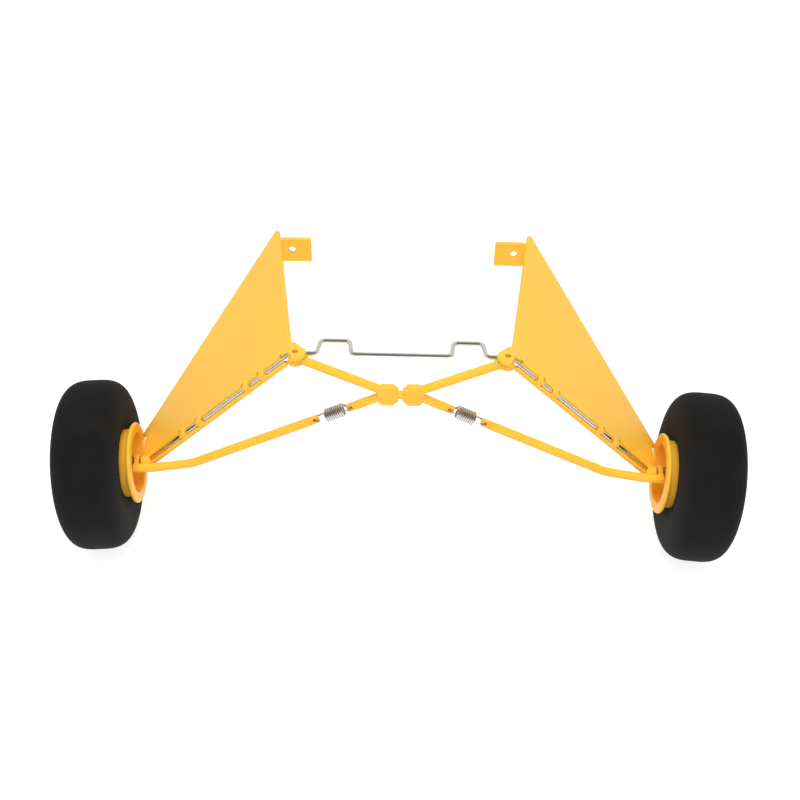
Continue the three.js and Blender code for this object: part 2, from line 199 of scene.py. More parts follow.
def frame_at(origin, x_axis, y_axis, z_axis):
    place = Matrix((x_axis, y_axis, z_axis)).transposed().to_4x4()
    place.translation = origin
    return place


leg_frame = frame_at((LEG_X, 0, WIRE_Z), along_leg, across_leg, off_leg)


def axle_point(x):
    return Vector((AXLE_X, 0, AXLE_Z)) + along_axle * ((x - AXLE_X) / along_axle.x)


def steel(name, colour, roughness, streak):
    """Drawn or turned steel: fine streaks and a faint mottling in the colour and the gloss."""
    finish = bpy.data.materials.new(name)
    finish.use_nodes = True
    nodes, links = finish.node_tree.nodes, finish.node_tree.links
    shader = nodes["Principled BSDF"]
    shader.inputs["Metallic"].default_value = 1
    coords = nodes.new("ShaderNodeTexCoord")
    stretch = nodes.new("ShaderNodeMapping")
    stretch.inputs["Scale"].default_value = streak
    grain = nodes.new("ShaderNodeTexNoise")
    grain.inputs["Scale"].default_value = 900
    grain.inputs["Detail"].default_value = 4
    links.new(coords.outputs["Object"], stretch.inputs["Vector"])
    links.new(stretch.outputs["Vector"], grain.inputs["Vector"])
    tint = nodes.new("ShaderNodeValToRGB")
    tint.color_ramp.elements[0].position = 0.3
    tint.color_ramp.elements[0].color = (*[0.8 * c for c in colour], 1)
    tint.color_ramp.elements[1].position = 0.7
    tint.color_ramp.elements[1].color = (*colour, 1)
    links.new(grain.outputs["Fac"], tint.inputs["Fac"])
    links.new(tint.outputs["Color"], shader.inputs["Base Color"])
    gloss = nodes.new("ShaderNodeMapRange")
    gloss.inputs["To Min"].default_value = roughness - 0.07
    gloss.inputs["To Max"].default_value = roughness + 0.07
    links.new(grain.outputs["Fac"], gloss.inputs["Value"])
    links.new(gloss.outputs["Result"], shader.inputs["Roughness"])
    scratch = nodes.new("ShaderNodeBump")
    scratch.inputs["Strength"].default_value = 0.12
    scratch.inputs["Distance"].default_value = 0.05 * MM
    links.new(grain.outputs["Fac"], scratch.inputs["Height"])
    links.new(scratch.outputs["Normal"], shader.inputs["Normal"])
    return finish


def sweep_tree(name, bends):
    """A round section swept along a path of edges, with its corners bent to a radius."""
    tree = bpy.data.node_groups.new(name, "GeometryNodeTree")
    tree.interface.new_socket("Path", in_out="INPUT", socket_type="NodeSocketGeometry")
    for label, kind in (
        ("Radius", "Float"), ("Sides", "Int"), ("Bend Radius", "Float"), ("Finish", "Material"),
    ):
        tree.interface.new_socket(label, in_out="INPUT", socket_type="NodeSocket" + kind)
    tree.interface.new_socket("Rod", in_out="OUTPUT", socket_type="NodeSocketGeometry")
    nodes, links = tree.nodes, tree.links
    given = nodes.new("NodeGroupInput")
    path = nodes.new("GeometryNodeMeshToCurve")
    links.new(given.outputs["Path"], path.inputs["Mesh"])
    route = path.outputs["Curve"]
    if bends:
        fillet = nodes.new("GeometryNodeFilletCurve")
        fillet.mode = "POLY"
        fillet.inputs["Count"].default_value = 9
        fillet.inputs["Limit Radius"].default_value = True
        links.new(route, fillet.inputs["Curve"])
        links.new(given.outputs["Bend Radius"], fillet.inputs["Radius"])
        route = fillet.outputs["Curve"]
    section = nodes.new("GeometryNodeCurvePrimitiveCircle")
    links.new(given.outputs["Sides"], section.inputs["Resolution"])
    links.new(given.outputs["Radius"], section.inputs["Radius"])
    sweep = nodes.new("GeometryNodeCurveToMesh")
    sweep.inputs["Fill Caps"].default_value = True
    links.new(route, sweep.inputs["Curve"])
    links.new(section.outputs["Curve"], sweep.inputs["Profile Curve"])
    real = nodes.new("GeometryNodeRealizeInstances")
    links.new(sweep.outputs["Mesh"], real.inputs["Geometry"])
    coat = nodes.new("GeometryNodeSetMaterial")
    links.new(real.outputs["Geometry"], coat.inputs["Geometry"])
    links.new(given.outputs["Finish"], coat.inputs["Material"])
    out = nodes.new("NodeGroupOutput")
    links.new(coat.outputs["Geometry"], out.inputs["Rod"])
    return tree


def grown(name, mesh, tree, values):
    """The plain mesh that a node tree grows from a source mesh."""
    source = bpy.data.objects.new(name, mesh)
    scene.collection.objects.link(source)
    modifier = source.modifiers.new(name, "NODES")
    modifier.node_group = tree
    sockets = {s.name: s.identifier for s in tree.interface.items_tree if s.in_out == "INPUT"}
    for label, value in values.items():
        modifier[sockets[label]] = value
    bpy.context.view_layer.update()
    result = bpy.data.meshes.new_from_object(source.evaluated_get(bpy.context.evaluated_depsgraph_get()))
    bpy.data.objects.remove(source)
    return result


def swept(name, points, radius, finish, bend_radius=None, sides=WIRE_SIDES):
    path = bpy.data.meshes.new(name)
    path.from_pydata([tuple(p) for p in points], [(i, i + 1) for i in range(len(points) - 1)], [])
    tree = coil_tree if bend_radius is None else bent_tree
    values = {"Radius": radius, "Sides": sides, "Bend Radius": bend_radius or 0.0, "Finish": finish}
    return grown(name, path, tree, values)


def placed(name, mesh, finish, side=1, sharp=math.radians(38)):
    """A piece in metres at its own place, from a mesh drawn in millimetres for the right side."""
    mesh = mesh.copy()
    mesh.transform(Matrix.Diagonal((side * MM, MM, MM, 1)))
    if side < 0:
        mesh.flip_normals()
    mesh.name = name
    mesh.materials.clear()
    mesh.materials.append(finish)
    mesh.shade_smooth()
    mesh.set_sharp_from_angle(angle=sharp)
    piece = bpy.data.objects.new(name, mesh)
    scene.collection.objects.link(piece)
    return piece


bent_tree = sweep_tree("bent_rod", bends=True)
coil_tree = sweep_tree("coiled_wire", bends=False)
wire_steel = steel("drawn_spring_wire", (0.95, 0.94, 0.9), 0.24, (0.15, 1, 1))

hump = [
    (HUMP_IN[0], 0), (HUMP_IN[1], HUMP_DEPTH), (HUMP_OUT[1], HUMP_DEPTH), (HUMP_OUT[0], 0),
    (WIRE_JOIN_X, 0),
]
middle_route = [Vector((-x, y, WIRE_Z)) for x, y in reversed(hump)]
middle_route += [Vector((x, y, WIRE_Z)) for x, y in hump]
middle_wire = placed(
    "gear_wire_middle", swept("middle", middle_route, WIRE_R, wire_steel, HUMP_BEND_R), wire_steel,
)
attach(middle_wire, "root")
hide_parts("gear_wire_centre")

leg_route = [(WIRE_JOIN_X, 0, WIRE_Z), (LEG_X, 0, WIRE_Z), (AXLE_X, 0, AXLE_Z), axle_point(AXLE_END_X)]
leg_wire = swept("leg", leg_route, WIRE_R, wire_steel, LEG_BEND_R)
for side, sign in SIDES.items():
    mirror = Matrix.Diagonal((sign * MM, MM, MM, 1))
    wire = placed(f"{side}_leg_wire_bent", leg_wire, wire_steel, sign)
    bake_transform(wire)
    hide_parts(f"{side}_leg_wire")


# ---- Fairings ----
# Each leg has one moulding in yellow nylon: a thin triangular plate with a trough along its
# front edge that the wire snaps into, four small lugs over the wire, a boss at the axle, an ear with the
# front screw hole and a standing tab with the rear one. Lines are cut through it along the flexing line
# between the two.
FACE_W = 1.1                     # outer face of the plate above the wire's middle
PLATE_T = 2.0
PLATE_EDGE = 0.45
TROUGH = (4.6, 82.3)             # ends of the trough along the leg
TROUGH_R = 1.3
LUGS = (15.8, 24.5, 51.3, 61.0)
LUG_W = 2.6
NOTCHES = (5.0, *[u + 1.6 for u in LUGS])
NOTCH_W = 1.8
EAR_HOLE = (40.4, -3.6)
EAR_HOLE_R = 1.25
EAR_R = 4.2
EAR_T = 2.0
TAB_HOLE = (50.3, -5.5)
TAB_HOLE_R = 1.7
TAB_Y = 87.0
TAB_T = 2.4
WIRE_ROOM_R = 1.12               # room for the wire in the mouldings
RAMP_LEVELS = (-0.04, -1.9)      # top and bottom of the ramp's end at the ear
FLEX_AXIS = Vector((-0.1746, -0.9846, -0.0206))    # from the tab to the ear
FLEX_LENGTH = 12
FLEX_LINES = 15                  # a millimetre apart
NYLON = (0.93, 0.525, 0.048)
NYLON_DEEP = (0.91, 0.5, 0.041)


def moulded(name, colour, deep, roughness=0.42):
    """Moulded nylon: slightly cloudy colour, a fine spark-eroded skin and a satin gloss."""
    finish = bpy.data.materials.new(name)
    finish.use_nodes = True
    nodes, links = finish.node_tree.nodes, finish.node_tree.links
    shader = nodes["Principled BSDF"]
    shader.inputs["Subsurface Weight"].default_value = 0.18
    shader.inputs["Subsurface Radius"].default_value = (1.0, 0.5, 0.12)
    shader.inputs["Subsurface Scale"].default_value = 1.2 * MM
    shader.inputs["IOR"].default_value = 1.5
    shader.inputs["Specular IOR Level"].default_value = 0.3
    coords = nodes.new("ShaderNodeTexCoord")
    cloud = nodes.new("ShaderNodeTexNoise")
    cloud.inputs["Scale"].default_value = 55
    cloud.inputs["Detail"].default_value = 5
    links.new(coords.outputs["Object"], cloud.inputs["Vector"])
    tint = nodes.new("ShaderNodeValToRGB")
    tint.color_ramp.elements[0].position = 0.32
    tint.color_ramp.elements[0].color = (*deep, 1)
    tint.color_ramp.elements[1].position = 0.68
    tint.color_ramp.elements[1].color = (*colour, 1)
    links.new(cloud.outputs["Fac"], tint.inputs["Fac"])
    links.new(tint.outputs["Color"], shader.inputs["Base Color"])
    skin = nodes.new("ShaderNodeTexNoise")
    skin.inputs["Scale"].default_value = 2600
    skin.inputs["Detail"].default_value = 3
    links.new(coords.outputs["Object"], skin.inputs["Vector"])
    gloss = nodes.new("ShaderNodeMapRange")
    gloss.inputs["To Min"].default_value = roughness - 0.08
    gloss.inputs["To Max"].default_value = roughness + 0.1
    links.new(cloud.outputs["Fac"], gloss.inputs["Value"])
    links.new(gloss.outputs["Result"], shader.inputs["Roughness"])
    relief = nodes.new("ShaderNodeBump")
    relief.inputs["Strength"].default_value = 0.16
    relief.inputs["Distance"].default_value = 0.04 * MM
    links.new(skin.outputs["Fac"], relief.inputs["Height"])
    links.new(relief.outputs["Normal"], shader.inputs["Normal"])
    return finish


def arc(centre, radius, from_deg, to_deg, steps):
    """Outline points on an arc."""
    turns = [math.radians(from_deg + (to_deg - from_deg) * i / steps) for i in range(steps + 1)]
    return [(centre[0] + radius * math.cos(a), centre[1] + radius * math.sin(a)) for a in turns]


def mesh_of(form, place=Matrix.Identity(4)):
    """A mesh from an edit mesh, with merged corners and faces that point outwards."""
    bmesh.ops.remove_doubles(form, verts=form.verts, dist=1e-4)
    bmesh.ops.recalc_face_normals(form, faces=form.faces)
    mesh = bpy.data.meshes.new("form")
    form.to_mesh(mesh)
    form.free()
    mesh.transform(place)
    return mesh


def slab(outline, depth, edge=0.0, place=Matrix.Identity(4), turns=3):
    """An outline in x and y given a depth upwards, with its rims rounded."""
    form = bmesh.new()
    base = form.faces.new([form.verts.new((x, y, 0)) for x, y in outline])
    grown_up = bmesh.ops.extrude_face_region(form, geom=[base])
    top = [v for v in grown_up["geom"] if isinstance(v, bmesh.types.BMVert)]
    bmesh.ops.translate(form, vec=(0, 0, depth), verts=top)
    bmesh.ops.recalc_face_normals(form, faces=form.faces)
    if edge:
        rims = [e for e in form.edges if abs(e.verts[0].co.z - e.verts[1].co.z) < 1e-6]
        bmesh.ops.bevel(form, geom=rims, offset=edge, segments=turns, profile=0.5, affect="EDGES")
    return mesh_of(form, place)


def block(low, high, edge=0.0, place=Matrix.Identity(4)):
    """A box between two corners with every edge rounded."""
    form = bmesh.new()
    bmesh.ops.create_cube(form, size=1)
    for v in form.verts:
        v.co = Vector([l + (h - l) * (c + 0.5) for l, h, c in zip(low, high, v.co)])
    if edge:
        bmesh.ops.bevel(form, geom=form.edges[:], offset=edge, segments=3, profile=0.5, affect="EDGES")
    return mesh_of(form, place)


def turned(profile, place=Matrix.Identity(4), steps=48):
    """A piece turned about the x axis, from a closed profile of places along it and radii."""
    form = bmesh.new()
    ring = [form.verts.new((x, 0, r)) for x, r in profile]
    edges = [form.edges.new((a, b)) for a, b in zip(ring, ring[1:] + ring[:1])]
    bmesh.ops.spin(
        form, geom=ring + edges, cent=(0, 0, 0), axis=(1, 0, 0),
        angle=2 * math.pi, steps=steps, use_merge=True,
    )
    bmesh.ops.dissolve_degenerate(form, edges=form.edges, dist=1e-5)
    return mesh_of(form, place)


def pointing(start, direction):
    """A place whose x axis points along a direction."""
    return Matrix.Translation(start) @ Vector(direction).to_track_quat("X", "Z").to_matrix().to_4x4()


def pin(start, end, radius, edge=0.0, steps=32):
    """A round pin between two points with rounded ends."""
    start, end = Vector(start), Vector(end)
    long = (end - start).length
    rim = arc((edge, radius - edge), edge, 180, 90, 4) if edge else [(0, radius)]
    far = [(long - x, r) for x, r in reversed(rim)]
    return turned([(0, 0), *rim, *far, (long, 0)], pointing(start, end - start), steps)


def hull(points):
    """The tight skin around a few points."""
    form = bmesh.new()
    corners = [form.verts.new(p) for p in points]
    shell = bmesh.ops.convex_hull(form, input=corners)
    inside = [v for v in shell["geom_interior"] if isinstance(v, bmesh.types.BMVert)]
    bmesh.ops.delete(form, geom=inside, context="VERTS")
    return mesh_of(form)


def fused(body, added=(), removed=()):
    """A mesh with others joined to it, then others cut from it."""
    whole = bpy.data.objects.new("whole", body)
    scene.collection.objects.link(whole)
    tools = []
    for mesh, operation in [(m, "UNION") for m in added] + [(m, "DIFFERENCE") for m in removed]:
        tool = bpy.data.objects.new("tool", mesh)
        scene.collection.objects.link(tool)
        tools.append(tool)
        cut = whole.modifiers.new(operation, "BOOLEAN")
        cut.operation = operation
        cut.solver = "MANIFOLD"
        cut.object = tool
    bpy.context.view_layer.update()
    result = bpy.data.meshes.new_from_object(whole.evaluated_get(bpy.context.evaluated_depsgraph_get()))
    for spent in [whole, *tools]:
        bpy.data.objects.remove(spent)
    return result


def even_shading(piece):
    """Keeps the shading of broad faces flat beside their rounded rims."""
    modifier = piece.modifiers.new("even_shading", "WEIGHTED_NORMAL")
    modifier.keep_sharp = True
    modifier.weight = 90


def fairing_mesh():
    tip = arc((10.6, 94.8), 1.4, 175, 45, 8)
    corner = arc((88, 18.9), 1.2, 40, -70, 8)
    outline = [(0.9, 1.5), *tip, *corner, (87.6, 17.3), (86.6, 14.5), (86.6, 4.5), (86.2, 1.5)]
    sheet_place = leg_frame @ Matrix.Translation((0, 0, FACE_W - PLATE_T))
    sheet = slab(outline, PLATE_T, PLATE_EDGE, sheet_place)
    # The trough is drawn across the leg and run along it.
    lip = arc((-1.85, -0.25), 0.55, 180, 0, 8)
    groove = arc((0, 0), TROUGH_R, 190, 350, 12)
    foot = arc((1.8, -1.2), 0.8, 0, -90, 5) + arc((-1.2, -0.9), 1.2, -90, -180, 7)
    section = lip + groove + [(TROUGH_R, FACE_W - 0.5), (2.6, FACE_W - 0.5)] + foot
    run = Matrix(((0, 0, 1, TROUGH[0]), (1, 0, 0, 0), (0, 1, 0, 0), (0, 0, 0, 1)))
    trough = slab(section, TROUGH[1] - TROUGH[0], 0.2, leg_frame @ run, turns=2)
    lugs = [
        block((u - LUG_W / 2, -2.45, -0.6), (u + LUG_W / 2, 2.7, 2.1), 0.4, leg_frame) for u in LUGS
    ]
    boss = pin(axle_point(102.6), axle_point(106.9), 2.6, 0.5)
    hx, hy = EAR_HOLE
    ear_outline = [
        (LEG_X - 0.2, 3.5), *arc((hx, hy), EAR_R, 125, 262, 26), (LEG_X - 0.2, -7.8), (LEG_X + 1.6, -3),
    ]
    ear = slab(ear_outline, EAR_T, 0.5, Matrix.Translation((0, 0, -EAR_T)))
    # A ramp carries the ear's level top down into the sloping plate.
    level = [(x, y, z) for z in RAMP_LEVELS for x, y in ((LEG_X - 0.5, 3.0), (LEG_X - 0.4, -1.2))]
    sloping = [
        (1.5, 7, 1.06), (6.0, 2.2, 1.06), (4.4, 7, 1.06),
        (1.5, 7, -0.6), (6.0, 2.2, -0.6), (1.8, 1.6, -0.6),
    ]
    ramp = hull([Vector(p) for p in level] + [leg_frame @ Vector(p) for p in sloping])
    saddle = block((38.6, -1.5, -4.9), (LEG_X + 1.2, 1.7, -1.2), 0.5)
    upright = Matrix(((1, 0, 0, 0), (0, 0, -1, TAB_Y + TAB_T), (0, 1, 0, 0), (0, 0, 0, 1)))
    tab_outline = [
        *arc((42.6, -1), 1, 180, 90, 5), (54.3, 0), (55.9, -0.6), (64.8, -9.1), (64.8, -11.3),
        *arc((42.2, -10.7), 0.6, 270, 180, 4),
    ]
    tab = slab(tab_outline, TAB_T, 0.45, upright)
    wire_room = [
        pin(leg_frame @ Vector((2.4, 0, 0)), leg_frame @ Vector((84.5, 0, 0)), WIRE_ROOM_R, steps=24),
        pin(axle_point(AXLE_X - 0.6), axle_point(108), WIRE_ROOM_R, steps=24),
        pin((36, 0, WIRE_Z), (LEG_X + 0.6, 0, WIRE_Z), WIRE_ROOM_R, steps=24),
    ]
    notches = [block((u, 1.1, -1.6), (u + NOTCH_W, 3.0, 3), 0.0, leg_frame) for u in NOTCHES]
    tx, tz = TAB_HOLE
    holes = [
        pin((hx, hy, 1), (hx, hy, -3), EAR_HOLE_R),
        pin((tx, TAB_Y - 1, tz), (tx, TAB_Y + TAB_T + 1, tz), TAB_HOLE_R),
    ]
    whole = fused(sheet, [trough, *lugs, boss, ear, ramp, saddle, tab], [*wire_room, *notches, *holes])
    # Lines along the flex, between the ear and the leg.
    form = bmesh.new()
    form.from_mesh(whole)
    for step in range(FLEX_LINES):
        middle = Vector((LEG_X - 0.6, 0, WIRE_Z)) - inwards * step
        bmesh.ops.bisect_plane(
            form, geom=form.verts[:] + form.edges[:] + form.faces[:], plane_co=middle, plane_no=inwards,
        )
    return mesh_of(form)


inwards = FLEX_AXIS.cross(Vector((0, 0, 1)))      # level, square to the flexing line
yellow_nylon = moulded("yellow_nylon_moulding", NYLON, NYLON_DEEP)
fairing = fairing_mesh()
for side, sign in SIDES.items():
    moulding = placed(f"{side}_fairing_moulding", fairing, yellow_nylon, sign)
    even_shading(moulding)
    mirror = Matrix.Diagonal((sign * MM, MM, MM, 1))
    start = Vector((LEG_X - 0.2, 0, WIRE_Z))
    end = start - inwards * FLEX_LENGTH
    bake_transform(moulding)
    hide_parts(f"{side}_fairing", f"{side}_fairing_ear", f"{side}_fairing_tab")


# ---- Centre brace ----
# A nylon moulding that ties the two front screws together under the belly. From each chamfered
# lobe one arm rises to an eye under the ear and a short one, flattened and cross-drilled, carries
# the spring's hook. A thin neck joins the lobes.
BRACE_Y = EAR_HOLE[1]
LOBE = (5.1, -19.3)
LOBE_HALF = 4.3
LOBE_CUT = 2.0
BRACE_ANGLE = math.radians(25)
ARM_R = 1.8
NECK_R = 1.7
HOOK_HOLE_R = 0.8
HOOK_END = (1.7, -3.2)           # ends of the flattened part, from the hook hole
BRACE_EYE_R = 2.9
BRACE_EYE_HOLE_R = 1.1
ARM_HOLE_S = 15.8                # hook hole in the arm, along the strut's line
STRUT_LIFT = 0.3

along_strut = Vector((math.cos(BRACE_ANGLE), 0, -math.sin(BRACE_ANGLE)))
above_strut = Vector((math.sin(BRACE_ANGLE), 0, math.cos(BRACE_ANGLE)))
strut_origin = Vector((LOBE[0], BRACE_Y, LOBE[1] + STRUT_LIFT))
strut_frame = frame_at(strut_origin, along_strut, Vector((0, 1, 0)), above_strut)


def strut_point(s, y=0.0, z=0.0):
    return strut_frame @ Vector((s, y, z))


def hook_end(hole_s, facing):
    """The flattened end of an arm or strut around its hook hole."""
    near, far = sorted(hole_s + step * facing for step in HOOK_END)
    return block((near, -0.9, -1.7), (far, 0.9, 1.7), 0.5, strut_frame)


def hook_hole(s):
    return pin(strut_point(s, -3), strut_point(s, 3), HOOK_HOLE_R, steps=20)


def mirrored(mesh):
    other = mesh.copy()
    other.transform(Matrix.Diagonal((-1, 1, 1, 1)))
    other.flip_normals()
    return other


def brace_half():
    lx, lz = LOBE
    upright = Matrix(((1, 0, 0, lx), (0, 0, -1, BRACE_Y + ARM_R), (0, 1, 0, lz), (0, 0, 0, 1)))
    out, inner = LOBE_HALF, LOBE_HALF - LOBE_CUT
    corners = [
        (inner, out), (out, inner), (out, -inner), (inner, -out),
        (-inner, -out), (-out, -inner), (-out, inner), (-inner, out),
    ]
    lobe = slab(corners, 2 * ARM_R, 0.7, upright)
    hx, hy = EAR_HOLE
    rising = swept("rising_arm", [(lx + 1, BRACE_Y, lz + 1.6), (36.6, BRACE_Y, -4.4)], ARM_R, yellow_nylon, 1)
    short = swept("short_arm", [strut_point(1), strut_point(ARM_HOLE_S - 2.4)], ARM_R, yellow_nylon, 1)
    eye = pin((hx, hy, -2.4), (hx, hy, -5.4), BRACE_EYE_R, 0.5)
    neck = block((35.4, hy - 1.7, -5.4), (hx, hy + 1.7, -2.4), 0.4)
    cuts = [
        pin((hx, hy, -1), (hx, hy, -7), BRACE_EYE_HOLE_R),
        block((hx - 6, -1.4, -7), (hx + 6, 3, -1)),
        hook_hole(ARM_HOLE_S),
    ]
    return [lobe, rising, short, eye, neck, hook_end(ARM_HOLE_S, 1)], cuts


solids, cuts = brace_half()
neck_bar = pin((-2, BRACE_Y, LOBE[1]), (2, BRACE_Y, LOBE[1]), NECK_R)
brace_mesh = fused(
    neck_bar, [*solids, *[mirrored(m) for m in solids]], [*cuts, *[mirrored(m) for m in cuts]],
)
brace = placed("centre_brace_moulding", brace_mesh, yellow_nylon)
even_shading(brace)
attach(brace, "root")
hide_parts("centre_brace")


# ---- Shock struts ----
# A nylon rod from the spring to the axle on each side. The end at the spring is flattened and
# cross-drilled; the other runs under the leg and ends in an eye, loose on the axle.
STRUT_HOLE_S = 31.6
STRUT_BEND_R = 20.0
EYE_X = (107.4, 109.4)           # ends of the eye along the axle
EYE_R = 3.3
EYE_BORE_R = 1.45


def strut_mesh():
    route = [
        strut_point(STRUT_HOLE_S + 2.2), (85, BRACE_Y, -56.3), (101, -4.9, -58), (109.0, -4.9, -58.5),
    ]
    shaft = swept("strut", route, ARM_R, yellow_nylon, STRUT_BEND_R)
    eye = pin(axle_point(EYE_X[0]), axle_point(EYE_X[1]), EYE_R, 0.4)
    tongue = block((EYE_X[0], -5.9, -60), (EYE_X[1], -2.2, -57.2), 0.3)
    bore = pin(axle_point(105), axle_point(112), EYE_BORE_R, steps=24)
    return fused(shaft, [hook_end(STRUT_HOLE_S, -1), eye, tongue], [hook_hole(STRUT_HOLE_S), bore])


strut = strut_mesh()
for side, sign in SIDES.items():
    piece = placed(f"{side}_shock_strut_moulding", strut, yellow_nylon, sign)
    even_shading(piece)
    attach(piece, f"{side}_strut")
    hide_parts(f"{side}_shock_strut")


# ---- Shock springs ----
# Close-wound extension springs in bright wire. The last turn at each end is bent out into a hook
# that passes through the hole of the arm or the strut.
COIL_S = (18.9, 26.8)
COIL_R = 2.45
COIL_WIRE_R = 0.41
COIL_TURNS = 9
COIL_STEPS = 28                  # steps in a turn
COIL_SIDES = 10


def hook_route(hole_s, coil_s, facing):
    """A loop through the hole and back to the coil, from the hook's tip inwards."""
    return [
        strut_point(hole_s + 1.9 * facing, -1.5), strut_point(hole_s + 0.7 * facing, -1.9),
        strut_point(hole_s - 0.1 * facing, -1.4), strut_point(hole_s - 0.2 * facing),
        strut_point(hole_s - 0.1 * facing, 1.4), strut_point(hole_s + 0.9 * facing, 1.9),
        strut_point(coil_s - 0.5 * facing, COIL_R - 0.3),
    ]


def smooth_route(points, steps=6):
    """A smooth line through the given points."""
    ends = [2 * points[0] - points[1], *points, 2 * points[-1] - points[-2]]
    line = []
    for before, here, after, beyond in zip(ends, ends[1:], ends[2:], ends[3:]):
        for i in range(steps):
            t = i / steps
            line.append(0.5 * (
                2 * here + (after - before) * t
                + (2 * before - 5 * here + 4 * after - beyond) * t * t
                + (3 * here - before - 3 * after + beyond) * t ** 3
            ))
    return line + [points[-1]]


def spring_mesh():
    count = COIL_TURNS * COIL_STEPS
    coil = []
    for i in range(count + 1):
        angle = 2 * math.pi * i / COIL_STEPS
        along = COIL_S[0] + (COIL_S[1] - COIL_S[0]) * i / count
        coil.append(strut_point(along, COIL_R * math.cos(angle), COIL_R * math.sin(angle)))
    first = smooth_route(hook_route(ARM_HOLE_S, COIL_S[0], 1))
    last = smooth_route(hook_route(STRUT_HOLE_S, COIL_S[1], -1))
    return swept("spring", first + coil + last[::-1], COIL_WIRE_R, spring_steel, sides=COIL_SIDES)


spring_steel = steel("bright_spring_wire", (0.72, 0.71, 0.69), 0.2, (1, 1, 1))
spring = spring_mesh()
for side, sign in SIDES.items():
    piece = placed(f"{side}_shock_spring_coiled", spring, spring_steel, sign)
    mirror = Matrix.Diagonal((sign * MM, MM, MM, 1))
    start, end = mirror @ strut_point(COIL_S[0]), mirror @ strut_point(COIL_S[1])
    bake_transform(piece)
    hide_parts(f"{side}_shock_spring")


# ---- Tyres ----
# Turned from closed-cell foam rubber and stretched over the hub, with a matt skin of fine open
# cells, faint turning marks and no tread.
WHEEL_X = 124.0
TYRE_R = 35.0
TYRE_HALF_W = 12.7
TYRE_STEPS = 160
SECTION_POWER = 3.5              # the section is a superellipse, squarish across the tread
SECTION_FOOT_R = 16.0
TREAD_ANGLE = 75                 # the tread's ends, in degrees from its middle
TREAD_STEPS = 50
wheel_frame = (
    Matrix.Translation(axle_point(WHEEL_X)) @ Matrix.Rotation(AXLE_TOE, 4, "Z")
    @ Matrix.Rotation(AXLE_DROOP, 4, "Y")
)


def foam_rubber():
    finish = bpy.data.materials.new("foam_rubber")
    finish.use_nodes = True
    nodes, links = finish.node_tree.nodes, finish.node_tree.links
    shader = nodes["Principled BSDF"]
    shader.inputs["Specular IOR Level"].default_value = 0.16
    coords = nodes.new("ShaderNodeTexCoord")
    cells = nodes.new("ShaderNodeTexVoronoi")
    cells.inputs["Scale"].default_value = 2200
    dust = nodes.new("ShaderNodeTexNoise")
    dust.inputs["Scale"].default_value = 90
    dust.inputs["Detail"].default_value = 6
    for texture in (cells, dust):
        links.new(coords.outputs["Object"], texture.inputs["Vector"])
    tint = nodes.new("ShaderNodeValToRGB")
    tint.color_ramp.elements[0].position = 0.35
    tint.color_ramp.elements[0].color = (0.0076, 0.0076, 0.008, 1)
    tint.color_ramp.elements[1].position = 0.75
    tint.color_ramp.elements[1].color = (0.0125, 0.0122, 0.0125, 1)
    links.new(dust.outputs["Fac"], tint.inputs["Fac"])
    links.new(tint.outputs["Color"], shader.inputs["Base Color"])
    matt = nodes.new("ShaderNodeMapRange")
    matt.inputs["To Min"].default_value = 0.7
    matt.inputs["To Max"].default_value = 0.95
    links.new(dust.outputs["Fac"], matt.inputs["Value"])
    links.new(matt.outputs["Result"], shader.inputs["Roughness"])
    relief = nodes.new("ShaderNodeBump")
    relief.inputs["Strength"].default_value = 0.5
    relief.inputs["Distance"].default_value = 0.12 * MM
    links.new(cells.outputs["Distance"], relief.inputs["Height"])
    links.new(relief.outputs["Normal"], shader.inputs["Normal"])
    return finish


def tyre_mesh():
    def squarish(value):
        return math.copysign(abs(value) ** (2 / SECTION_POWER), value)

    tread = []
    for i in range(TREAD_STEPS + 1):
        angle = math.radians(TREAD_ANGLE - 2 * TREAD_ANGLE * i / TREAD_STEPS)
        height = (TYRE_R - SECTION_FOOT_R) * squarish(math.cos(angle))
        tread.append((TYRE_HALF_W * squarish(math.sin(angle)), SECTION_FOOT_R + height))
    w = TYRE_HALF_W
    foot = [(w - 1.7, 14.3), (w - 1.1, 16), (w - 0.5, 19), tread[0]]
    side = [(p.x, p.z) for p in smooth_route([Vector((x, 0, r)) for x, r in foot], 5)][:-1]
    other = [(-x, r) for x, r in reversed(side)]
    return turned(side + tread + other, wheel_frame, TYRE_STEPS)


foam = foam_rubber()
tyre = tyre_mesh()
for side, sign in SIDES.items():
    piece = placed(f"{side}_foam_tyre", tyre, foam, sign, sharp=math.radians(50))
    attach(piece, f"{side}_wheel")
    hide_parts(f"{side}_tyre")


# ---- Hubs ----
# Two moulded halves meet inside the tyre and clamp it. Each has a thick rounded rim, a deep cup,
# a web and a long tube for the axle. Three screws from outboard pull the halves together.
BARREL_R = 14.0
FLANGE_R = 16.7
HUB_INNER_W = 16.1               # rim of the half towards the fuselage, from the tyre's middle
HUB_OUTER_W = 14.6               # rim of the outboard half, likewise
WEB = (7.8, 9.8)
TUBE_END = 11.8
HUB_BORE_R = 1.3
SPLIT = 0.15
HUB_SCREWS = 3
SCREW_CIRCLE_R = 8.3
SCREW_POST_R = 2.3
SCREW_HOLE_R = 1.1
HUB_STEPS = 96


